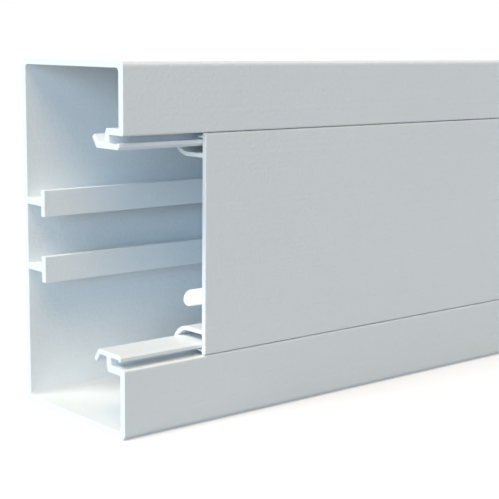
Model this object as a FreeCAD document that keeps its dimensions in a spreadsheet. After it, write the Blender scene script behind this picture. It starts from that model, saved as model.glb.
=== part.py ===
import FreeCAD, Part
import math
import os
from collections import namedtuple

import Sketcher

# Surface trunking for cables and sockets: a long channel, fixed to a wall through slots in its
# back, and the cover that clips into the channel's open front.
#
# Both pieces are extruded along X, and their sections are the same above and below mid-height,
# so each sketch holds the upper half only and the finished half is mirrored downwards.
# A section is given by its depth, measured back from the front face, and its height above
# mid-height. The placements then stand the channel on its lower wall, with the origin under
# the middle of it, the open front towards -Y and the wall side towards +Y.

# name, millimetres or degrees or a number of pieces, and what it measures
SIZES = [
    ("length", 2000, "length of the channel and of the cover"),
    ("height", 130, "height of the channel outside"),
    ("depth", 65, "depth of the channel outside"),
    ("wall", 2.5, "thickness of the back, the top and the bottom"),
    ("back_radius", 4, "rounding of the outer corners at the wall side"),
    ("front_radius", 2.2, "rounding of the outer corners at the front"),
    ("inner_radius", 1.5, "rounding of the inner corners"),
    ("edge_radius", 0.3, "rounding of free edges, such as those of the rails and catches"),
    ("root_radius", 0.5, "rounding where a rib, ledge or arm springs from its wall"),
    ("opening", 80, "height of the front opening that the cover closes"),
    ("lip_wall", 2.7, "thickness of the front walls beside the opening"),
    ("ledge", 2.3, "thickness of the ledge that turns back from the edge of a lip"),
    ("ledge_slope", 1.8, "height of the slanted back end of the ledge"),
    ("ledge_setback", 0.9, "depth of the slanted back end of the ledge"),
    ("groove_depth", 8.3, "depth of the groove between ledge and shelf"),
    ("groove_height", 3, "height of that groove"),
    ("web", 2.6, "thickness of the web behind the groove"),
    ("shelf", 1.8, "thickness of the shelf under the groove"),
    ("shelf_depth", 16, "depth at which the shelf turns up into the catch"),
    ("shelf_chamfer", 1, "bevel of the lower front edge of the shelf"),
    ("bead", 0.5, "height of the bead along the front edge of the shelf"),
    ("bead_width", 1.2, "width of that bead"),
    ("catch_angle", 55, "slope of the catch, in degrees from level"),
    ("catch_length", 4.6, "length of the catch along its slope"),
    ("catch_wall", 1.8, "thickness of the catch"),
    ("rail_height", 12.25, "distance of each mounting rail from mid-height"),
    ("rail_depth", 12, "distance from the inside of the back to the front of a rail"),
    ("rail_stem", 2.3, "thickness of a rail's stem"),
    ("rail_flange", 9.8, "height of a rail's flange"),
    ("rail_flange_wall", 2.5, "thickness of a rail's flange"),
    ("slot_width", 7, "width of a fixing slot"),
    ("slot_length", 14, "length of a fixing slot, end to end"),
    ("slot_height", 34, "distance of each row of slots from mid-height"),
    ("slot_end", 80, "distance from the end of the channel to the middle of the outermost slots"),
    ("slot_stations", 6, "number of slots in each row"),
    ("slot_overcut", 1, "how far past the back wall the slot's cutter reaches"),
    ("cover_wall", 2, "thickness of the cover's plate"),
    ("cover_radius", 0.6, "rounding of the cover's front edges"),
    ("cover_setback", 35, "how far the cover is pushed along from the near end"),
    ("tongue", 0.8, "thickness of the tongue behind each edge of the cover"),
    ("tongue_depth", 4.6, "depth to which the tongue reaches"),
    ("tongue_height", 1.2, "distance from the edge of a lip to the tongue"),
    ("arm_wall", 1.5, "thickness of the cover's clip arms"),
    ("arm_drop", 2.65, "space between the shelf and the straight part of an arm"),
    ("hook_start", 0.6, "distance up the catch at which the straight end of an arm begins"),
    ("hook_length", 3.2, "length of that straight end"),
    ("edge_gap", 0.2, "clearance between the cover and the edge of a lip"),
    ("clip_gap", 0.3, "clearance between the cover and the shelf and catch behind it"),
]

# A corner of an outline. Where it has a bend, an arc of that radius leads to the next corner,
# turning left or right as seen while walking along the outline; otherwise a line does.
# Where it has an edge, the finished piece is rounded there with that radius.
Corner = namedtuple("Corner", "across up bend turn edge", defaults=(None, "", None))
LEFT = "left"
RIGHT = "right"
EDGE = "Sizes.edge_radius"
ROOT = "Sizes.root_radius"

# How a sketch numbers its own axes and origin
UPRIGHT_AXIS, LEVEL_AXIS, ORIGIN_POINT = -2, -1, (-1, 1)

# How near an edge passes a corner to be that corner's edge
SAME_PLACE = 1e-4

# Sizes that several outlines share
HALF_HEIGHT = "Sizes.height / 2"
LIP_EDGE = "Sizes.opening / 2"
GROOVE_FLOOR = f"{LIP_EDGE} - Sizes.groove_height"
SHELF_UNDERSIDE = f"{GROOVE_FLOOR} - Sizes.shelf"
COS_CATCH = "cos(Sizes.catch_angle)"
SIN_CATCH = "sin(Sizes.catch_angle)"


def make_sheet(doc):
    """Write the driving dimensions into a spreadsheet."""
    sheet = doc.addObject("Spreadsheet::Sheet", "Sizes")
    for row, (name, value, meaning) in enumerate(SIZES, start=1):
        sheet.set(f"A{row}", name)
        sheet.set(f"B{row}", str(value))
        sheet.setAlias(f"B{row}", name)
        sheet.set(f"C{row}", meaning)
    doc.recompute()


def origin_feature(body, role):
    """The body's own origin plane or axis with that role."""
    return [feature for feature in body.Origin.OriginFeatures if feature.Role == role][0]


def new_sketch(body, role, name):
    """An empty sketch on one of the body's origin planes."""
    sketch = body.newObject("Sketcher::SketchObject", name)
    sketch.AttachmentSupport = (origin_feature(body, role), "")
    sketch.MapMode = "FlatFace"
    return sketch


def arc_between(start, end, radius, turn):
    """The shorter arc from start to end whose centre lies on the side of the turn."""
    chord = end - start
    to_left = FreeCAD.Vector(-chord.y, chord.x, 0).normalize()
    reach = math.sqrt(max(radius**2 - chord.Length**2 / 4, 0))
    middle = (start + end) * 0.5
    if turn == LEFT:
        first, last, centre = start, end, middle + to_left * reach
    else:
        first, last, centre = end, start, middle - to_left * reach
    circle = Part.Circle(centre, FreeCAD.Vector(0, 0, 1), radius)
    return Part.ArcOfCircle(circle, circle.parameter(first), circle.parameter(last))


def fix_point(sketch, point, axis, kind, expression):
    """Hold one coordinate of a point on its expression, or on the axis where that is zero."""
    if expression == "0":
        sketch.addConstraint(Sketcher.Constraint("PointOnObject", *point, axis))
        return
    value = float(sketch.evalExpression(expression))
    index = sketch.addConstraint(Sketcher.Constraint(kind, *ORIGIN_POINT, *point, value))
    sketch.setExpression(f"Constraints[{index}]", expression)


def ends_along(corner):
    """The ends of a corner's line or arc in the order in which the outline passes them.

    A sketch numbers the two ends 1 and 2. An arc counts them anticlockwise, so one that turns
    right is entered at its second end.
    """
    return (2, 1) if corner.turn == RIGHT else (1, 2)


def spot_of(sketch, corner):
    """Where a corner lies in the sketch."""
    across = float(sketch.evalExpression(corner.across))
    up = float(sketch.evalExpression(corner.up))
    return FreeCAD.Vector(across, up, 0)


def draw_outline(sketch, corners):
    """Draw a closed outline whose corners and radii follow the sheet."""
    spots = [spot_of(sketch, corner) for corner in corners]
    for index, corner in enumerate(corners):
        start, end = spots[index], spots[(index + 1) % len(spots)]
        if corner.bend is None:
            sketch.addGeometry(Part.LineSegment(start, end))
        else:
            radius = float(sketch.evalExpression(corner.bend))
            sketch.addGeometry(arc_between(start, end, radius, corner.turn))

    for index, corner in enumerate(corners):
        following = (index + 1) % len(corners)
        first, last = ends_along(corner)
        next_first = ends_along(corners[following])[0]
        join = Sketcher.Constraint("Coincident", index, last, following, next_first)
        sketch.addConstraint(join)
        fix_point(sketch, (index, first), UPRIGHT_AXIS, "DistanceX", corner.across)
        fix_point(sketch, (index, first), LEVEL_AXIS, "DistanceY", corner.up)
        if corner.bend is not None:
            radius = float(sketch.evalExpression(corner.bend))
            held = sketch.addConstraint(Sketcher.Constraint("Radius", index, radius))
            sketch.setExpression(f"Constraints[{held}]", corner.bend)


def extrude(body, sketch, name):
    """Pad a section over the whole length."""
    pad = body.newObject("PartDesign::Pad", name)
    pad.Profile = sketch
    pad.setExpression("Length", "Sizes.length")
    body.Tip = pad


def lengthwise_edges(shape, spots):
    """Names of the edges that run along the piece through those spots of its section."""
    names = []
    for number, edge in enumerate(shape.Edges, start=1):
        start, end = edge.Vertexes[0].Point, edge.Vertexes[-1].Point
        runs_along = abs(end.x - start.x) > abs(end.y - start.y) + abs(end.z - start.z)
        place = FreeCAD.Vector(start.y, start.z, 0)
        if runs_along and any(place.distanceToPoint(spot) < SAME_PLACE for spot in spots):
            names.append(f"Edge{number}")
    return names


def round_edges(body, sketch, corners, radius, name):
    """Round the lengthwise edges of the corners that ask for that radius."""
    body.Document.recompute()
    spots = [spot_of(sketch, corner) for corner in corners if corner.edge == radius]
    names = lengthwise_edges(body.Shape, spots)
    if len(names) != len(spots):
        raise ValueError(f"{name}: {len(spots)} corners but {len(names)} edges")
    base = body.Tip
    fillet = body.newObject("PartDesign::Fillet", name)
    fillet.Base = (base, names)
    fillet.setExpression("Radius", radius)
    body.Tip = fillet


def mirror_down(body, name):
    """Add the lower half of the finished upper half."""
    body.Document.recompute()
    mirror = body.newObject("PartDesign::Mirrored", name)
    mirror.MirrorPlane = (origin_feature(body, "XY_Plane"), [""])
    mirror.TransformMode = "Whole shape"
    mirror.Refine = True
    body.Tip = mirror


def channel_corners():
    """Upper half of the channel's section, from the edge of the lip round to the groove."""
    back = "Sizes.depth - Sizes.wall"
    top = f"{HALF_HEIGHT} - Sizes.wall"
    return [
        Corner("0", LIP_EDGE, edge=EDGE),
        Corner("0", f"{HALF_HEIGHT} - Sizes.front_radius", "Sizes.front_radius", RIGHT),
        Corner("Sizes.front_radius", HALF_HEIGHT),
        Corner("Sizes.depth - Sizes.back_radius", HALF_HEIGHT, "Sizes.back_radius", RIGHT),
        Corner("Sizes.depth", f"{HALF_HEIGHT} - Sizes.back_radius"),
        Corner("Sizes.depth", "0"),
        Corner(back, "0"),
        *rail_corners(back),
        Corner(back, f"{top} - Sizes.inner_radius", "Sizes.inner_radius", LEFT),
        Corner(f"{back} - Sizes.inner_radius", top),
        Corner("Sizes.lip_wall + Sizes.inner_radius", top, "Sizes.inner_radius", LEFT),
        Corner("Sizes.lip_wall", f"{top} - Sizes.inner_radius"),
        *ledge_corners(),
        *catch_corners(),
        *shelf_corners(),
    ]


def rail_corners(back):
    """T-shaped rail on the back wall, which sockets and boxes clip on to."""
    front = f"{back} - Sizes.rail_depth"
    flange_back = f"{front} + Sizes.rail_flange_wall"
    stem_low = "Sizes.rail_height - Sizes.rail_stem / 2"
    stem_high = "Sizes.rail_height + Sizes.rail_stem / 2"
    flange_low = "Sizes.rail_height - Sizes.rail_flange / 2"
    flange_high = "Sizes.rail_height + Sizes.rail_flange / 2"
    return [
        Corner(back, stem_low, edge=ROOT),
        Corner(flange_back, stem_low, edge=ROOT),
        Corner(flange_back, flange_low, edge=EDGE),
        Corner(front, flange_low, edge=EDGE),
        Corner(front, flange_high, edge=EDGE),
        Corner(flange_back, flange_high, edge=EDGE),
        Corner(flange_back, stem_high, edge=ROOT),
        Corner(back, stem_high, edge=ROOT),
    ]


def ledge_corners():
    """Top of the ledge, its slanted end and the web that hangs from it."""
    ledge_top = f"{LIP_EDGE} + Sizes.ledge"
    web_back = "Sizes.groove_depth + Sizes.web"
    return [
        Corner("Sizes.lip_wall", ledge_top, edge=ROOT),
        Corner(f"{web_back} - Sizes.ledge_setback", ledge_top, edge=EDGE),
        Corner(web_back, f"{ledge_top} - Sizes.ledge_slope", edge=EDGE),
        Corner(web_back, GROOVE_FLOOR, edge=ROOT),
    ]


def catch_corners():
    """The springy slanted leg that a clip arm of the cover grips."""
    wall_across = f"Sizes.catch_wall * {SIN_CATCH}"
    wall_up = f"Sizes.catch_wall * {COS_CATCH}"
    root_slope = f"(Sizes.shelf - {wall_up}) / {SIN_CATCH}"
    tip_across = f"Sizes.shelf_depth + Sizes.catch_length * {COS_CATCH}"
    tip_up = f"{SHELF_UNDERSIDE} + Sizes.catch_length * {SIN_CATCH}"
    root_across = f"Sizes.shelf_depth - {wall_across} + {root_slope} * {COS_CATCH}"
    return [
        Corner(root_across, GROOVE_FLOOR, edge=ROOT),
        Corner(f"{tip_across} - {wall_across}", f"{tip_up} + {wall_up}", edge=EDGE),
        Corner(tip_across, tip_up, edge=EDGE),
        Corner("Sizes.shelf_depth", SHELF_UNDERSIDE),
    ]


def shelf_corners():
    """Front edge of the shelf with its bead, and the groove above it."""
    tip = "Sizes.cover_wall + Sizes.clip_gap"
    bead_top = f"{GROOVE_FLOOR} + Sizes.bead"
    bead_back = f"{tip} + Sizes.bead_width"
    return [
        Corner(f"{tip} + Sizes.shelf_chamfer", SHELF_UNDERSIDE),
        Corner(tip, f"{SHELF_UNDERSIDE} + Sizes.shelf_chamfer"),
        Corner(tip, bead_top, edge=EDGE),
        Corner(bead_back, bead_top),
        Corner(f"{bead_back} + Sizes.bead", GROOVE_FLOOR),
        Corner("Sizes.groove_depth", GROOVE_FLOOR, edge=ROOT),
        Corner("Sizes.groove_depth", LIP_EDGE, edge=ROOT),
    ]


def slot_corners():
    """The outermost fixing slot of the upper row, seen along the screw."""
    middle = "Sizes.slot_end"
    radius = "Sizes.slot_width / 2"
    straight = "(Sizes.slot_length - Sizes.slot_width) / 2"
    level = "Sizes.slot_height"
    return [
        Corner(f"{middle} - {straight}", f"{level} + {radius}"),
        Corner(f"{middle} + {straight}", f"{level} + {radius}", radius, RIGHT),
        Corner(f"{middle} + {straight} + {radius}", level, radius, RIGHT),
        Corner(f"{middle} + {straight}", f"{level} - {radius}"),
        Corner(f"{middle} - {straight}", f"{level} - {radius}", radius, RIGHT),
        Corner(f"{middle} - {straight} - {radius}", level, radius, RIGHT),
    ]


def cut_slots(body):
    """Cut the upper row of fixing slots through the back wall."""
    body.Document.recompute()
    uncut = body.Shape.Volume
    sketch = new_sketch(body, "XZ_Plane", "SlotOutline")
    sketch.setExpression("AttachmentOffset.Base.z", "-Sizes.depth")
    draw_outline(sketch, slot_corners())
    slot = body.newObject("PartDesign::Pocket", "Slot")
    slot.Profile = sketch
    slot.Reversed = True
    slot.setExpression("Length", "Sizes.wall + Sizes.slot_overcut")
    body.Tip = slot
    body.Document.recompute()
    if slot.Shape.Volume >= uncut:
        raise ValueError("the slot cuts nothing")

    row = body.newObject("PartDesign::LinearPattern", "SlotRow")
    row.Originals = [slot]
    row.Direction = (origin_feature(body, "X_Axis"), [""])
    row.Mode = "Extent"
    row.setExpression("Length", "Sizes.length - 2 * Sizes.slot_end")
    row.setExpression("Occurrences", "Sizes.slot_stations")
    body.Tip = row


def make_channel(doc):
    """The channel: back, top and bottom, two lips with their catches, rails and slots."""
    body = doc.addObject("PartDesign::Body", "Channel")
    body.Label = "base_channel"
    section = new_sketch(body, "YZ_Plane", "ChannelSection")
    draw_outline(section, channel_corners())
    extrude(body, section, "UpperHalf")
    round_edges(body, section, channel_corners(), ROOT, "ChannelRoots")
    round_edges(body, section, channel_corners(), EDGE, "ChannelEdges")
    cut_slots(body)
    mirror_down(body, "BothHalves")
    body.setExpression("Placement.Base.x", "-Sizes.length / 2")
    body.setExpression("Placement.Base.y", "-Sizes.depth / 2")
    body.setExpression("Placement.Base.z", HALF_HEIGHT)
    return body


def cover_corners():
    """Upper half of the cover's section: plate, edge, tongue and clip arm."""
    edge = f"{LIP_EDGE} - Sizes.edge_gap"
    tongue_top = f"{LIP_EDGE} - Sizes.tongue_height"
    tongue_low = f"{tongue_top} - Sizes.tongue"
    return [
        Corner("0", "0"),
        Corner("0", f"{edge} - Sizes.cover_radius", "Sizes.cover_radius", RIGHT),
        Corner("Sizes.cover_radius", edge),
        Corner("Sizes.cover_wall", edge),
        Corner("Sizes.cover_wall", tongue_top, edge=ROOT),
        Corner("Sizes.tongue_depth", tongue_top, edge=EDGE),
        Corner("Sizes.tongue_depth", tongue_low, edge=EDGE),
        Corner("Sizes.cover_wall", tongue_low, edge=ROOT),
        *arm_corners(),
        Corner("Sizes.cover_wall", "0"),
    ]


def arm_corners():
    """Clip arm: straight back under the shelf, then bent up to lie along the catch."""
    arm_top = f"{SHELF_UNDERSIDE} - Sizes.arm_drop"
    arm_low = f"{arm_top} - Sizes.arm_wall"
    wall_across = f"Sizes.arm_wall * {SIN_CATCH}"
    wall_up = f"Sizes.arm_wall * {COS_CATCH}"
    hook_across = (
        f"Sizes.shelf_depth + Sizes.clip_gap * {SIN_CATCH} + Sizes.hook_start * {COS_CATCH}"
    )
    hook_up = f"{SHELF_UNDERSIDE} - Sizes.clip_gap * {COS_CATCH} + Sizes.hook_start * {SIN_CATCH}"
    bend = f"({hook_up} - ({arm_top})) / (1 - {COS_CATCH})"
    bend_start = f"{hook_across} - {bend} * {SIN_CATCH}"
    end_across = f"{hook_across} + Sizes.hook_length * {COS_CATCH}"
    end_up = f"{hook_up} + Sizes.hook_length * {SIN_CATCH}"
    return [
        Corner("Sizes.cover_wall", arm_top, edge=ROOT),
        Corner(bend_start, arm_top, bend, LEFT),
        Corner(hook_across, hook_up),
        Corner(end_across, end_up, edge=EDGE),
        Corner(f"{end_across} + {wall_across}", f"{end_up} - {wall_up}", edge=EDGE),
        Corner(
            f"{hook_across} + {wall_across}",
            f"{hook_up} - {wall_up}",
            f"{bend} + Sizes.arm_wall",
            RIGHT,
        ),
        Corner(bend_start, arm_low),
        Corner("Sizes.cover_wall", arm_low, edge=ROOT),
    ]


def make_cover(doc):
    """The cover that clips into the front of the channel."""
    body = doc.addObject("PartDesign::Body", "Cover")
    body.Label = "clip_cover"
    section = new_sketch(body, "YZ_Plane", "CoverSection")
    draw_outline(section, cover_corners())
    extrude(body, section, "UpperHalfOfCover")
    round_edges(body, section, cover_corners(), ROOT, "CoverRoots")
    round_edges(body, section, cover_corners(), EDGE, "CoverEdges")
    mirror_down(body, "BothHalvesOfCover")
    body.setExpression("Placement.Base.x", "-Sizes.length / 2 + Sizes.cover_setback")
    body.setExpression("Placement.Base.y", "-Sizes.depth / 2")
    body.setExpression("Placement.Base.z", HALF_HEIGHT)
    return body


def check(doc, bodies):
    """Stop if a feature failed or a body is not one sound solid."""
    for item in doc.Objects:
        if "Invalid" in item.State or "Error" in item.State:
            raise RuntimeError(f"{item.Label} failed: {item.State}")
    for body in bodies:
        if body.Shape.isNull() or not body.Shape.isValid() or len(body.Shape.Solids) != 1:
            raise RuntimeError(f"{body.Label} is not one sound solid")


def main():
    """Build both pieces and write each to its own file."""
    doc = FreeCAD.newDocument("CableTrunking")
    make_sheet(doc)
    bodies = [make_channel(doc), make_cover(doc)]
    doc.recompute()
    check(doc, bodies)
    os.makedirs("parts", exist_ok=True)
    for body in bodies:
        body.Shape.exportStep(f"parts/{body.Label}.step")
        box = body.Shape.BoundBox
        print(f"{body.Label}: {box.XLength:.1f} x {box.YLength:.1f} x {box.ZLength:.1f} mm,",
              f"{body.Shape.Volume / 1000:.1f} cm3, {len(body.Shape.Faces)} faces")


main()
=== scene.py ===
"""Looks of a length of white PVC wall trunking: an open channel and the cover clipped into it.

Both pieces are extruded, so each is one section run along X. A section is written in
millimetres as its depth behind the front face and its height above mid-height. It is the same
above and below mid-height, so only the upper half is written down.
"""
import logging
import math
from dataclasses import dataclass, field
from enum import Enum
from typing import NamedTuple

import bmesh
import bpy
from mathutils import Matrix, Vector


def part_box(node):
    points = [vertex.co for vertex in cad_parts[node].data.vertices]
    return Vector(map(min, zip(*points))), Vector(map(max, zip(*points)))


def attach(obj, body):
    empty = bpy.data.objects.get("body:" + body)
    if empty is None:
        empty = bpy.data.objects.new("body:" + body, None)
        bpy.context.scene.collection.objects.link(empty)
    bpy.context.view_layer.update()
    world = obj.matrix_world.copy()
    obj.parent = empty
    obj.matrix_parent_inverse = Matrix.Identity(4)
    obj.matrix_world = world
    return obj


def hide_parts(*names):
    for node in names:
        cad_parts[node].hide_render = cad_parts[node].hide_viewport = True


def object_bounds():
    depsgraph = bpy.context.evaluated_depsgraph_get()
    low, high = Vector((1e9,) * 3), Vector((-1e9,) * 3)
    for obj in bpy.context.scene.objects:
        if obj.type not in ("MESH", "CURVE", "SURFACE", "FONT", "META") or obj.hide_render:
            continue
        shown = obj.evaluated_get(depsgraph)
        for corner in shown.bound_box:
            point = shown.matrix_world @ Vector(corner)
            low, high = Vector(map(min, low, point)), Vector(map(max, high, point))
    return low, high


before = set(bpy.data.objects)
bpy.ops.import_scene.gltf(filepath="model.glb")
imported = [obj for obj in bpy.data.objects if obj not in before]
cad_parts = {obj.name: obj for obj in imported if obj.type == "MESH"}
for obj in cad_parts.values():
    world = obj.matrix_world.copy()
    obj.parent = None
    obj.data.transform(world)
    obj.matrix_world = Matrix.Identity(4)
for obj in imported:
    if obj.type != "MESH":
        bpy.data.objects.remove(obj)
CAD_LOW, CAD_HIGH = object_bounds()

LOG = logging.getLogger("trunking")
MM = 0.001

# Largest turn between two sides of an arc, and the fewest sides of one
ARC_STEP = math.radians(12)
ARC_SIDES = 2

# Turn past which an edge is shown sharp
SHARP_TURN = math.radians(32)

# How far apart two depths may lie and still be the same face
SAME_FACE = 0.1 * MM

# Where a colour Mix node keeps its two colours and its result
MIX_A, MIX_B, MIX_RESULT = 6, 7, 2

# How many rings Blender's ring pattern makes per unit of its scale
RINGS_PER_SCALE = 20 / (2 * math.pi)


class Skin(Enum):
    """Which finish a face wears: its slot on the piece."""

    EXTRUDED = 0
    SAWN = 1


class Corner(NamedTuple):
    """A corner of a section in millimetres.

    Attributes:
        across: depth behind the front face.
        up: height above mid-height.
        radius: rounding of the corner.
    """

    across: float
    up: float
    radius: float


def linear(colour: str) -> tuple[float, float, float, float]:
    """Turn a colour written as sRGB hex into linear light.

    Args:
        colour: six hex digits after a hash sign.

    Returns:
        Red, green, blue and alpha for a shader socket.
    """
    parts = [int(colour[start : start + 2], 16) / 255 for start in (1, 3, 5)]
    light = [part / 12.92 if part <= 0.04045 else ((part + 0.055) / 1.055) ** 2.4 for part in parts]
    return (*light, 1.0)


def add_node(tree: bpy.types.NodeTree, kind: str, inputs: dict, **settings) -> bpy.types.Node:
    """Add a node with its settings and links.

    Args:
        tree: the node tree that the node joins.
        kind: Blender's name for the kind of node.
        inputs: for each input, by name or number, its value or the output that feeds it.
        settings: the node's own properties.

    Returns:
        The new node.
    """
    node = tree.nodes.new(kind)
    for name, value in settings.items():
        setattr(node, name, value)
    for name, value in inputs.items():
        if isinstance(value, bpy.types.NodeSocket):
            tree.links.new(value, node.inputs[name])
        else:
            node.inputs[name].default_value = value
    return node


def empty_material(name: str) -> bpy.types.Material:
    """Make a material whose node tree is empty.

    Args:
        name: what the material is called.

    Returns:
        The new material.
    """
    material = bpy.data.materials.new(name)
    material.use_nodes = True
    material.node_tree.nodes.clear()
    return material


@dataclass(frozen=True)
class ExtrudedPVC:
    """Rigid white PVC as it leaves the die: satin, with faint lines all along.

    The pigment makes it a slightly cool white. The cooling sleeves polish the walls, so broad
    soft highlights lie along the piece. The lines of the die and a fine orange peel break them up.
    """

    colour: str = "#ECF0F2"
    shade: str = "#E7ECEF"
    ior: float = 1.54
    roughness: float = 0.36
    # How far the lines move the roughness either way
    roughness_spread: float = 0.08
    # Width of the faint clouds in which one tint passes into the other
    cloud_mm: float = 45.0
    cloud_detail: float = 2.0
    # Real lines stand 0.2 to 0.5 mm apart; drawn coarser and deeper, so that they show
    line_mm: float = 1.2
    line_run_mm: float = 900.0
    line_depth_mm: float = 0.12
    line_detail: float = 3.0
    # The orange peel of the cooled skin, also drawn deeper than it is
    peel_mm: float = 1.4
    peel_depth_mm: float = 0.16
    peel_detail: float = 2.0

    def material(self) -> bpy.types.Material:
        """Build the finish as a material.

        Returns:
            The material.
        """
        material = empty_material("extruded_white_pvc")
        tree = material.node_tree
        place = add_node(tree, "ShaderNodeTexCoord", {}).outputs["Object"]
        along = 1 / (self.line_run_mm * MM)
        across = 1 / (self.line_mm * MM)
        stretched = add_node(
            tree, "ShaderNodeMapping", {"Vector": place, "Scale": (along, across, across)}
        )
        lines = add_node(
            tree,
            "ShaderNodeTexNoise",
            {
                "Vector": stretched.outputs["Vector"],
                "Scale": 1.0,
                "Detail": self.line_detail,
            },
        ).outputs["Fac"]
        clouds = add_node(
            tree,
            "ShaderNodeTexNoise",
            {
                "Vector": place,
                "Scale": 1 / (self.cloud_mm * MM),
                "Detail": self.cloud_detail,
            },
        ).outputs["Fac"]
        tint = add_node(
            tree,
            "ShaderNodeMix",
            {"Factor": clouds, MIX_A: linear(self.colour), MIX_B: linear(self.shade)},
            data_type="RGBA",
        )
        roughness = add_node(
            tree,
            "ShaderNodeMapRange",
            {
                "Value": lines,
                "To Min": self.roughness - self.roughness_spread,
                "To Max": self.roughness + self.roughness_spread,
            },
        )
        peel = add_node(
            tree,
            "ShaderNodeTexNoise",
            {
                "Vector": place,
                "Scale": 1 / (self.peel_mm * MM),
                "Detail": self.peel_detail,
            },
        ).outputs["Fac"]
        line_height = add_node(
            tree, "ShaderNodeMath", {0: lines, 1: self.line_depth_mm}, operation="MULTIPLY"
        )
        height = add_node(
            tree,
            "ShaderNodeMath",
            {0: peel, 1: self.peel_depth_mm, 2: line_height.outputs["Value"]},
            operation="MULTIPLY_ADD",
        )
        relief = add_node(
            tree,
            "ShaderNodeBump",
            {"Height": height.outputs["Value"], "Distance": MM, "Strength": 1.0},
        )
        shader = add_node(
            tree,
            "ShaderNodeBsdfPrincipled",
            {
                "Base Color": tint.outputs[MIX_RESULT],
                "Roughness": roughness.outputs["Result"],
                "IOR": self.ior,
                "Normal": relief.outputs["Normal"],
            },
        )
        add_node(tree, "ShaderNodeOutputMaterial", {"Surface": shader.outputs["BSDF"]})
        return material


@dataclass(frozen=True)
class SawnPVC:
    """The same PVC where a circular saw cut it square.

    The teeth tear the surface finely, so the cut is chalkier and whiter than the extruded walls,
    and each tooth leaves a shallow arc.
    """

    colour: str = "#F2F5F6"
    shade: str = "#E9EEF0"
    ior: float = 1.54
    roughness: float = 0.62
    blade_radius_mm: float = 150.0
    # Tooth marks of a fine blade stand about 0.3 mm apart; drawn coarser, so that they show
    mark_mm: float = 1.0
    mark_depth_mm: float = 0.02
    mark_waver: float = 1.5
    mark_detail: float = 2.0
    mark_detail_scale: float = 1.5
    grain_mm: float = 0.5
    grain_detail: float = 3.0

    def material(self, middle: Vector) -> bpy.types.Material:
        """Build the finish as a material.

        Args:
            middle: the middle of the cut, which the rim of the blade passes through.

        Returns:
            The material.
        """
        material = empty_material("sawn_white_pvc")
        tree = material.node_tree
        place = add_node(tree, "ShaderNodeTexCoord", {}).outputs["Object"]
        hub = middle + Vector((0, -self.blade_radius_mm, -self.blade_radius_mm)) * MM / math.sqrt(2)
        from_hub = add_node(
            tree, "ShaderNodeVectorMath", {0: place, 1: hub}, operation="SUBTRACT"
        )
        marks = add_node(
            tree,
            "ShaderNodeTexWave",
            {
                "Vector": from_hub.outputs["Vector"],
                "Scale": 1 / (RINGS_PER_SCALE * self.mark_mm * MM),
                "Distortion": self.mark_waver,
                "Detail": self.mark_detail,
                "Detail Scale": self.mark_detail_scale,
            },
            wave_type="RINGS",
            rings_direction="X",
        )
        grain = add_node(
            tree,
            "ShaderNodeTexNoise",
            {
                "Vector": place,
                "Scale": 1 / (self.grain_mm * MM),
                "Detail": self.grain_detail,
            },
        )
        height = add_node(
            tree,
            "ShaderNodeMath",
            {0: marks.outputs["Fac"], 1: grain.outputs["Fac"]},
            operation="ADD",
        )
        tint = add_node(
            tree,
            "ShaderNodeMix",
            {
                "Factor": grain.outputs["Fac"],
                MIX_A: linear(self.colour),
                MIX_B: linear(self.shade),
            },
            data_type="RGBA",
        )
        relief = add_node(
            tree,
            "ShaderNodeBump",
            {
                "Height": height.outputs["Value"],
                "Distance": self.mark_depth_mm * MM,
                "Strength": 1.0,
            },
        )
        shader = add_node(
            tree,
            "ShaderNodeBsdfPrincipled",
            {
                "Base Color": tint.outputs[MIX_RESULT],
                "Roughness": self.roughness,
                "IOR": self.ior,
                "Normal": relief.outputs["Normal"],
            },
        )
        add_node(tree, "ShaderNodeOutputMaterial", {"Surface": shader.outputs["BSDF"]})
        return material


def turn_left(direction: Vector) -> Vector:
    """The direction a quarter turn to the left."""
    return Vector((-direction.y, direction.x))


def slid_to(point: Vector, slope: Vector, level: float) -> Vector:
    """Slide a point along a slope until it is at that height."""
    return point + slope * (level - point.y) / slope.y


def whole_loop(half: list[Corner]) -> list[Corner]:
    """Close an upper half with its mirror image below mid-height."""
    return half + [Corner(corner.across, -corner.up, corner.radius) for corner in reversed(half)]


def rounded(corners: list[Corner]) -> list[Vector]:
    """Walk round a closed section and turn each corner with an arc.

    Args:
        corners: the section's corners in order.

    Returns:
        The points of the outline, in millimetres.
    """
    points = []
    for index, corner in enumerate(corners):
        here = Vector(corner[:2])
        before = Vector(corners[index - 1][:2])
        after = Vector(corners[(index + 1) % len(corners)][:2])
        arriving = (here - before).normalized()
        leaving = (after - here).normalized()
        turn = math.atan2(arriving.cross(leaving), arriving.dot(leaving))
        side = math.copysign(1, turn)
        start = here - arriving * corner.radius * math.tan(abs(turn) / 2)
        centre = start + turn_left(arriving) * side * corner.radius
        steps = max(ARC_SIDES, math.ceil(abs(turn) / ARC_STEP))
        for step in range(steps + 1):
            swing = Matrix.Rotation(turn * step / steps, 2)
            points.append(centre + swing @ (start - centre))
    return points


def shrunk(points: list[Vector], by: float) -> list[Vector]:
    """Draw an outline in towards its material.

    Args:
        points: a closed outline.
        by: how far its sides move in.

    Returns:
        The outline drawn in, point for point.
    """
    area = sum(points[index - 1].cross(point) for index, point in enumerate(points))
    inward = math.copysign(by, area)
    moved = []
    for index, point in enumerate(points):
        arriving = (point - points[index - 1]).normalized()
        leaving = (points[(index + 1) % len(points)] - point).normalized()
        mitre = (turn_left(arriving) + turn_left(leaving)).normalized()
        moved.append(point + mitre * inward / mitre.dot(turn_left(arriving)))
    return moved


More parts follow.
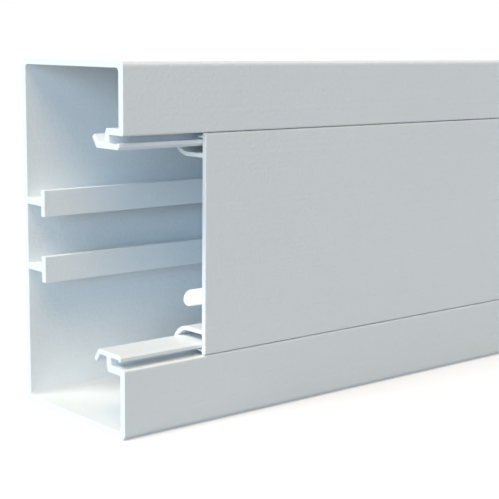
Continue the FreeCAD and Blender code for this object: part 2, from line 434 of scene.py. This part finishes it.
@dataclass
class Extrusion:
    """A plastic section pressed through a die and sawn square at both ends.

    Sizes are in millimetres, and places in the frame are in metres.

    Attributes:
        node: the node of the frame that the piece replaces.
        name: the piece's own name.
        body: the body that it moves with.
        slot: name of the finish slot that it would take; not used.
        die_radius: rounding of corners that have no size of their own; no die cuts sharper.
        edge_radius: rounding of free edges.
        root_radius: rounding where a rib springs from its wall.
        deburr: bevel left by the file round a sawn end.
    """

    node: str
    name: str
    body: str
    slot: str
    die_radius: float = 0.15
    edge_radius: float = 0.3
    root_radius: float = 0.5
    deburr: float = 0.12

    def __post_init__(self) -> None:
        """Read the piece's place from the frame."""
        self.low, self.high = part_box(self.node)
        self.front = CAD_LOW.y
        self.depth = (self.high.y - self.low.y) / MM
        self.middle = (CAD_LOW.z + CAD_HIGH.z) / 2

    def half_section(self) -> list[Corner]:
        """The upper half of the section, from one crossing of mid-height to the other."""
        raise NotImplementedError

    def spot(self, x: float, point: Vector) -> Vector:
        """Place a point of the section in the frame, in metres."""
        return Vector((x, self.front + point.x * MM, self.middle + point.y * MM))

    def is_pierced(self, start: Vector, end: Vector) -> bool:
        """Whether holes are cut through the strip between these two points of the section."""
        return False

    def pierce(self, mesh: bmesh.types.BMesh, strips: list[list[bmesh.types.BMVert]]) -> None:
        """Fill the strips that holes are cut through."""

    def build(self) -> bpy.types.Object:
        """Make the piece's mesh.

        Returns:
            The new object, riding on its body in place of its node.
        """
        outline = rounded(whole_loop(self.half_section()))
        filed = shrunk(outline, self.deburr)
        bevel = self.deburr * MM
        stations = [
            (self.low.x, filed),
            (self.low.x + bevel, outline),
            (self.high.x - bevel, outline),
            (self.high.x, filed),
        ]
        mesh = bmesh.new()
        rings = [
            [mesh.verts.new(self.spot(x, point)) for point in points] for x, points in stations
        ]
        pierced = []
        for skin, start, end in zip((Skin.SAWN, Skin.EXTRUDED, Skin.SAWN), rings, rings[1:]):
            for index, point in enumerate(outline):
                strip = [start[index - 1], start[index], end[index], end[index - 1]]
                if skin is Skin.EXTRUDED and self.is_pierced(outline[index - 1], point):
                    pierced.append(strip)
                else:
                    mesh.faces.new(strip).material_index = skin.value
        for ring in (rings[0], rings[-1]):
            mesh.faces.new(ring).material_index = Skin.SAWN.value
        self.pierce(mesh, pierced)
        return self.settle(mesh)

    def settle(self, mesh: bmesh.types.BMesh) -> bpy.types.Object:
        """Turn a finished mesh into a piece of the model.

        Args:
            mesh: the mesh, which is freed here.

        Returns:
            The new object.
        """
        bmesh.ops.recalc_face_normals(mesh, faces=mesh.faces)
        for face in mesh.faces:
            face.smooth = True
        data = bpy.data.meshes.new(self.name)
        mesh.to_mesh(data)
        mesh.free()
        data.set_sharp_from_angle(angle=SHARP_TURN)
        piece = bpy.data.objects.new(self.name, data)
        bpy.context.scene.collection.objects.link(piece)
        level = piece.modifiers.new("flat walls stay flat", "WEIGHTED_NORMAL")
        level.keep_sharp = True
        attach(piece, self.body)
        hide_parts(self.node)
        return piece

    def dress(self, piece: bpy.types.Object, extruded: ExtrudedPVC, sawn: SawnPVC) -> None:
        """Give the piece its two finishes.

        Args:
            piece: the object to dress.
            extruded: the finish of the walls.
            sawn: the finish of the two ends.
        """
        middle = (self.low + self.high) / 2
        finishes = {Skin.EXTRUDED: extruded.material(), Skin.SAWN: sawn.material(middle)}
        for skin in Skin:
            piece.data.materials.append(finishes[skin])


@dataclass
class Channel(Extrusion):
    """The channel: back, top and bottom, two lips with springy catches, rails and slots."""

    node: str = "base_channel"
    name: str = "channel"
    body: str = "base"
    slot: str = "channel_pvc"
    wall: float = 2.5
    back_radius: float = 4.0
    front_radius: float = 2.2
    inner_radius: float = 1.5
    # Height of the lip's edge above mid-height
    lip_edge: float = 40.0
    # Rounder than the other free edges: it shows as a light line all along the joint
    lip_radius: float = 0.8
    lip_wall: float = 2.7
    ledge: float = 2.3
    ledge_slope: float = 1.8
    ledge_setback: float = 0.9
    groove_depth: float = 8.3
    groove_height: float = 3.0
    web: float = 2.6
    shelf: float = 1.8
    shelf_front: float = 2.3
    shelf_depth: float = 16.0
    shelf_chamfer: float = 1.0
    bead: float = 0.5
    bead_width: float = 1.2
    catch_slope: float = math.radians(55)
    catch_length: float = 4.6
    catch_wall: float = 1.8
    # Height of the rail's middle above mid-height, and how far its front stands off the wall
    rail_height: float = 12.25
    rail_depth: float = 12.0
    rail_stem: float = 2.3
    rail_flange: float = 9.8
    rail_flange_wall: float = 2.5
    slot_width: float = 7.0
    slot_length: float = 14.0
    # How far the rows lie above and below mid-height, and the first slots from the sawn ends
    slot_height: float = 34.0
    slot_end: float = 80.0
    slot_stations: int = 6
    # The punch draws the edge in a little on the side that it enters
    slot_drawn_in: float = 0.3
    drawn_in_steps: int = 4

    def half_section(self) -> list[Corner]:
        """Write down the upper half of the section.

        Returns:
            Its corners, from the inside of the back round to the outside.
        """
        half_height = (self.high.z - self.low.z) / MM / 2
        back, top = self.depth - self.wall, half_height - self.wall
        return [
            *self.rail(back),
            Corner(back, top, self.inner_radius),
            Corner(self.lip_wall, top, self.inner_radius),
            *self.ledge_and_web(),
            *self.catch(),
            *self.shelf_and_groove(),
            Corner(0, half_height, self.front_radius),
            Corner(self.depth, half_height, self.back_radius),
        ]

    def rail(self, back: float) -> list[Corner]:
        """T-shaped rail that boxes clip on to.

        Args:
            back: depth of the back wall's inner face.

        Returns:
            Its corners, from below the stem to above it.
        """
        front = back - self.rail_depth
        shoulder = front + self.rail_flange_wall
        stem = self.rail_stem / 2
        flange = self.rail_flange / 2
        edge, root, middle = self.edge_radius, self.root_radius, self.rail_height
        return [
            Corner(back, middle - stem, root),
            Corner(shoulder, middle - stem, root),
            Corner(shoulder, middle - flange, edge),
            Corner(front, middle - flange, edge),
            Corner(front, middle + flange, edge),
            Corner(shoulder, middle + flange, edge),
            Corner(shoulder, middle + stem, root),
            Corner(back, middle + stem, root),
        ]

    def ledge_and_web(self) -> list[Corner]:
        """The ledge behind the lip's edge, and the web that hangs from it.

        Returns:
            Their corners, with the ledge's slanted end between them.
        """
        top = self.lip_edge + self.ledge
        back = self.groove_depth + self.web
        return [
            Corner(self.lip_wall, top, self.root_radius),
            Corner(back - self.ledge_setback, top, self.edge_radius),
            Corner(back, top - self.ledge_slope, self.edge_radius),
            Corner(back, self.groove_floor, self.root_radius),
        ]

    @property
    def groove_floor(self) -> float:
        """Height of the top of the shelf."""
        return self.lip_edge - self.groove_height

    @property
    def foot(self) -> Vector:
        """Where the underside of the shelf turns up into the catch."""
        return Vector((self.shelf_depth, self.groove_floor - self.shelf))

    @property
    def slope(self) -> Vector:
        """Direction in which the catch rises."""
        return Vector((math.cos(self.catch_slope), math.sin(self.catch_slope)))

    def catch(self) -> list[Corner]:
        """The springy leg at the back of the shelf, which an arm of the cover grips.

        Returns:
            Its corners, from the shelf's top round its tip to the shelf's underside.
        """
        tip = self.foot + self.slope * self.catch_length
        behind = turn_left(self.slope) * self.catch_wall
        return [
            Corner(*slid_to(self.foot + behind, self.slope, self.groove_floor), self.root_radius),
            Corner(*(tip + behind), self.edge_radius),
            Corner(*tip, self.edge_radius),
            Corner(*self.foot, self.edge_radius),
        ]

    def shelf_and_groove(self) -> list[Corner]:
        """The shelf's front edge with its bead, the groove, and the edge of the lip.

        Returns:
            Their corners, from the shelf's underside to the front face.
        """
        floor, underside = self.groove_floor, self.foot.y
        bead_back = self.shelf_front + self.bead_width
        die, edge, root = self.die_radius, self.edge_radius, self.root_radius
        return [
            Corner(self.shelf_front + self.shelf_chamfer, underside, die),
            Corner(self.shelf_front, underside + self.shelf_chamfer, die),
            Corner(self.shelf_front, floor + self.bead, edge),
            Corner(bead_back, floor + self.bead, die),
            Corner(bead_back + self.bead, floor, die),
            Corner(self.groove_depth, floor, root),
            Corner(self.groove_depth, self.lip_edge, root),
            Corner(0, self.lip_edge, self.lip_radius),
        ]

    def is_pierced(self, start: Vector, end: Vector) -> bool:
        """Whether a strip is a face of the back wall that a row of slots passes through.

        Args:
            start: one edge of the strip, as a point of the section.
            end: its other edge.

        Returns:
            True where the slots cut it.
        """
        on_back = min(start.x, end.x) > self.depth - self.wall - self.die_radius
        low, high = sorted((start.y, end.y))
        return on_back and (low < self.slot_height < high or low < -self.slot_height < high)

    def slot_middles(self) -> list[tuple[float, float]]:
        """Work out where the middles of the slots lie.

        Returns:
            For each slot, metres along X and millimetres above mid-height.
        """
        first = self.low.x + self.slot_end * MM
        last = self.high.x - self.slot_end * MM
        pitch = (last - first) / (self.slot_stations - 1)
        return [
            (first + station * pitch, row)
            for row in (self.slot_height, -self.slot_height)
            for station in range(self.slot_stations)
        ]

    def slot_rim(self, middle: tuple[float, float], grown: float, depth: float) -> list[Vector]:
        """Outline of a slot at one depth of the wall.

        Args:
            middle: the slot's middle, as slot_middles gives it.
            grown: how far the outline stands outside the slot's own size.
            depth: depth behind the front face.

        Returns:
            Its points in the frame.
        """
        radius = self.slot_width / 2 + grown
        straight = (self.slot_length - self.slot_width) / 2
        steps = round(math.pi / ARC_STEP)
        points = []
        for end in (1, -1):
            for step in range(steps + 1):
                angle = math.pi * (step / steps - 0.5)
                along = end * (straight + radius * math.cos(angle))
                up = end * radius * math.sin(angle)
                points.append(self.spot(middle[0] + along * MM, Vector((depth, middle[1] + up))))
        return points

    def pierce(self, mesh: bmesh.types.BMesh, strips: list[list[bmesh.types.BMVert]]) -> None:
        """Cut the slots: their walls, and the faces of the back wall around them.

        Args:
            mesh: the mesh to add to.
            strips: the corners of each face of the back wall that has slots.
        """
        inside = self.depth - self.wall
        draw = self.slot_drawn_in
        steps = range(self.drawn_in_steps + 1)
        angles = [math.pi / 2 * step / self.drawn_in_steps for step in steps]
        profile = [
            (draw * (1 - math.sin(angle)), inside + draw * (1 - math.cos(angle)))
            for angle in angles
        ]
        profile.append((0.0, self.depth))
        rims = []
        for middle in self.slot_middles():
            rings = [
                [mesh.verts.new(spot) for spot in self.slot_rim(middle, grown, depth)]
                for grown, depth in profile
            ]
            for start, end in zip(rings, rings[1:]):
                for index in range(len(start)):
                    mesh.faces.new([start[index - 1], start[index], end[index], end[index - 1]])
            rims += [rings[0], rings[-1]]
        for strip in strips:
            low, high = strip[0].co, strip[1].co
            bottom, top = sorted((low.z, high.z))
            loops = [strip] + [
                rim
                for rim in rims
                if abs(rim[0].co.y - low.y) < SAME_FACE and bottom < rim[0].co.z < top
            ]
            edges = []
            for loop in loops:
                for index, point in enumerate(loop):
                    ends = (loop[index - 1], point)
                    edges.append(mesh.edges.get(ends) or mesh.edges.new(ends))
            bmesh.ops.triangle_fill(mesh, edges=edges, use_beauty=True)


@dataclass
class Cover(Extrusion):
    """The cover: a flush plate, a small tongue behind each edge, and two curved clip arms."""

    node: str = "clip_cover"
    name: str = "cover"
    body: str = "cover"
    slot: str = "cover_pvc"
    wall: float = 2.0
    front_radius: float = 0.6
    edge_gap: float = 0.2
    tongue: float = 0.8
    tongue_depth: float = 4.6
    tongue_height: float = 1.2
    arm_wall: float = 1.5
    arm_drop: float = 2.65
    hook_start: float = 0.6
    hook_length: float = 3.2
    clip_gap: float = 0.3
    channel: Channel = field(kw_only=True)

    def half_section(self) -> list[Corner]:
        """Write down the upper half of the section.

        Returns:
            Its corners, from the front of the plate round to its back.
        """
        edge = self.channel.lip_edge - self.edge_gap
        top = self.channel.lip_edge - self.tongue_height
        low = top - self.tongue
        return [
            Corner(0, edge, self.front_radius),
            Corner(self.wall, edge, self.die_radius),
            Corner(self.wall, top, self.root_radius),
            Corner(self.tongue_depth, top, self.edge_radius),
            Corner(self.tongue_depth, low, self.edge_radius),
            Corner(self.wall, low, self.root_radius),
            *self.arm(),
        ]

    def arm(self) -> list[Corner]:
        """The clip arm: back under the shelf, then up along the catch.

        Returns:
            Its corners, from its root on the plate round its tip and back.
        """
        slope = self.channel.slope
        outward = -turn_left(slope)
        top = self.channel.foot.y - self.arm_drop
        low = top - self.arm_wall
        hook = self.channel.foot + outward * self.clip_gap + slope * self.hook_start
        tip = hook + slope * self.hook_length
        bend = (hook.y - top) / (1 - slope.x)
        return [
            Corner(self.wall, top, self.root_radius),
            Corner(*slid_to(hook, slope, top), bend),
            Corner(*tip, self.edge_radius),
            Corner(*(tip + outward * self.arm_wall), self.edge_radius),
            Corner(*slid_to(hook + outward * self.arm_wall, slope, low), bend + self.arm_wall),
            Corner(self.wall, low, self.root_radius),
        ]


@dataclass(frozen=True)
class PhotoCamera:
    """The photograph's camera, fitted to the straight edges of the trunking.

    Attributes:
        offset: its place in metres from the lower front corner of the channel's near end.
        turn_deg: how far it looks to the right of square on to the front.
        tilt_deg: how far it looks down.
        roll_deg: how far it leans to the left.
        focal_px: its focal length in pixels of the photograph.
        frame_px: width of the photograph.
    """

    offset: tuple[float, float, float] = (-0.24303, -0.35262, 0.13739)
    turn_deg: float = 40.239
    tilt_deg: float = 9.305
    roll_deg: float = 0.579
    focal_px: float = 1285.3
    frame_px: float = 499.0

    def build(self, corner: Vector) -> None:
        """Put the camera in the scene.

        Args:
            corner: the lower front corner of the channel's near end.
        """
        data = bpy.data.cameras.new("photo_camera")
        data.lens = data.sensor_width * self.focal_px / self.frame_px
        camera = bpy.data.objects.new("photo_camera", data)
        bpy.context.scene.collection.objects.link(camera)
        aim = (
            Matrix.Rotation(-math.radians(self.turn_deg), 4, "Z")
            @ Matrix.Rotation(math.radians(90 - self.tilt_deg), 4, "X")
            @ Matrix.Rotation(math.radians(self.roll_deg), 4, "Z")
        )
        camera.matrix_world = Matrix.Translation(corner + Vector(self.offset)) @ aim
        bpy.context.scene.camera = camera


@dataclass(frozen=True)
class Lamp:
    """A large soft lamp so far off that it lights the whole length alike.

    Attributes:
        name: what the lamp is called.
        turn_deg: where it stands, turned from square in front towards the near end.
        height_deg: how high it stands above the horizon.
        level: light that it throws on a face square to it, where 1 shows a colour as written.
        colour: colour of its light.
        width_deg: how wide it looks from the trunking.
    """

    name: str
    turn_deg: float
    height_deg: float
    level: float
    colour: str
    width_deg: float = 30.0

    def build(self) -> None:
        """Put the lamp in the scene."""
        data = bpy.data.lights.new(self.name, "SUN")
        data.energy = self.level * math.pi
        data.color = linear(self.colour)[:3]
        data.angle = math.radians(self.width_deg)
        lamp = bpy.data.objects.new(self.name, data)
        turn, height = math.radians(self.turn_deg), math.radians(self.height_deg)
        towards = Vector((-math.sin(turn), -math.cos(turn), math.tan(height)))
        lamp.rotation_euler = towards.to_track_quat("Z", "Y").to_euler()
        bpy.context.scene.collection.objects.link(lamp)


@dataclass(frozen=True)
class Studio:
    """A pale studio: soft lamps, a faint light from all round, and a floor and sky that look white.

    Attributes:
        lamps: the lamps. The high front one is warm and the low one cool, so that the outer faces
            look neutral and the hollows, which mostly the low one reaches, look bluish.
        sky: colour of the light from all round.
        sky_level: its strength, where 1 is white.
        floor: colour of the paper to the eye.
        floor_bounce: colour of the light that it throws back, greyed so that the light from
            below stays weaker than the lamps.
        floor_glow: share of the floor's look that is plain white, which softens shadows.
        glow_level: strength of that white.
        floor_size: side of the floor in metres.
    """

    lamps: tuple[Lamp, ...] = (
        Lamp("key_lamp", turn_deg=98, height_deg=52, level=0.84, colour="#FAFEFF"),
        Lamp("high_front_lamp", turn_deg=36, height_deg=53, level=0.39, colour="#FFDFAE"),
        Lamp("low_front_lamp", turn_deg=52, height_deg=8, level=0.56, colour="#C6E5FF"),
        Lamp("back_lamp", turn_deg=-140, height_deg=20, level=0.20, colour="#FFFFFF", width_deg=40),
    )
    sky: str = "#D8E8FA"
    sky_level: float = 0.03
    floor: str = "#F3F6FB"
    floor_bounce: str = "#ACB0B4"
    floor_glow: float = 0.3
    glow_level: float = 1.35
    floor_size: float = 60.0

    def build(self) -> None:
        """Light the scene and lay the floor."""
        for lamp in self.lamps:
            lamp.build()
        self.build_sky()
        self.build_floor()

    @staticmethod
    def seen(tree: bpy.types.NodeTree) -> bpy.types.NodeSocket:
        """Tell the rays that show a surface to the eye, straight or mirrored, from all others.

        Args:
            tree: the node tree that asks.

        Returns:
            An output that is one for those rays and nought for the others.
        """
        path = add_node(tree, "ShaderNodeLightPath", {})
        seen = path.outputs["Is Camera Ray"]
        for ray in ("Is Glossy Ray", "Is Transmission Ray"):
            both = add_node(
                tree, "ShaderNodeMath", {0: seen, 1: path.outputs[ray]}, operation="MAXIMUM"
            )
            seen = both.outputs["Value"]
        return seen

    def build_sky(self) -> None:
        """Make a sky that lights softly and looks white."""
        world = bpy.data.worlds.new("studio_sky")
        world.use_nodes = True
        tree = world.node_tree
        tree.nodes.clear()
        light = add_node(
            tree, "ShaderNodeBackground", {"Color": linear(self.sky), "Strength": self.sky_level}
        )
        white = add_node(
            tree, "ShaderNodeBackground", {"Color": linear("#FFFFFF"), "Strength": 1.0}
        )
        mixed = add_node(
            tree,
            "ShaderNodeMixShader",
            {0: self.seen(tree), 1: light.outputs["Background"], 2: white.outputs["Background"]},
        )
        add_node(tree, "ShaderNodeOutputWorld", {"Surface": mixed.outputs["Shader"]})
        bpy.context.scene.world = world

    def build_floor(self) -> None:
        """Lay the paper floor under the trunking."""
        half = self.floor_size / 2
        corners = [(-half, -half), (half, -half), (half, half), (-half, half)]
        data = bpy.data.meshes.new("studio_floor")
        data.from_pydata([(x, y, CAD_LOW.z) for x, y in corners], [], [(0, 1, 2, 3)])
        floor = bpy.data.objects.new("studio_floor", data)
        bpy.context.scene.collection.objects.link(floor)
        material = empty_material("studio_floor_paper")
        tree = material.node_tree
        bounce = add_node(tree, "ShaderNodeBsdfDiffuse", {"Color": linear(self.floor_bounce)})
        paper = add_node(tree, "ShaderNodeBsdfDiffuse", {"Color": linear(self.floor)})
        glow = add_node(tree, "ShaderNodeEmission", {"Strength": self.glow_level})
        look = add_node(
            tree,
            "ShaderNodeMixShader",
            {0: self.floor_glow, 1: paper.outputs["BSDF"], 2: glow.outputs["Emission"]},
        )
        mixed = add_node(
            tree,
            "ShaderNodeMixShader",
            {0: self.seen(tree), 1: bounce.outputs["BSDF"], 2: look.outputs["Shader"]},
        )
        add_node(tree, "ShaderNodeOutputMaterial", {"Surface": mixed.outputs["Shader"]})
        data.materials.append(material)


def report(piece: bpy.types.Object) -> None:
    """Log what a finished piece is made of.

    Args:
        piece: the piece in its two finishes.
    """
    LOG.info(
        "%s: %d points, %d faces, %s",
        piece.name,
        len(piece.data.vertices),
        len(piece.data.polygons),
        ", ".join(slot.material.name for slot in piece.material_slots),
    )


def main() -> None:
    """Build the studio and the two pieces."""
    logging.basicConfig(level=logging.INFO, format="%(name)s: %(message)s")
    bpy.context.scene.view_settings.view_transform = "Standard"
    channel = Channel()
    PhotoCamera().build(channel.low)
    Studio().build()
    extruded, sawn = ExtrudedPVC(), SawnPVC()
    for part in (channel, Cover(channel=channel)):
        piece = part.build()
        part.dress(piece, extruded, sawn)
        report(piece)


if __name__ == "__main__":
    main()
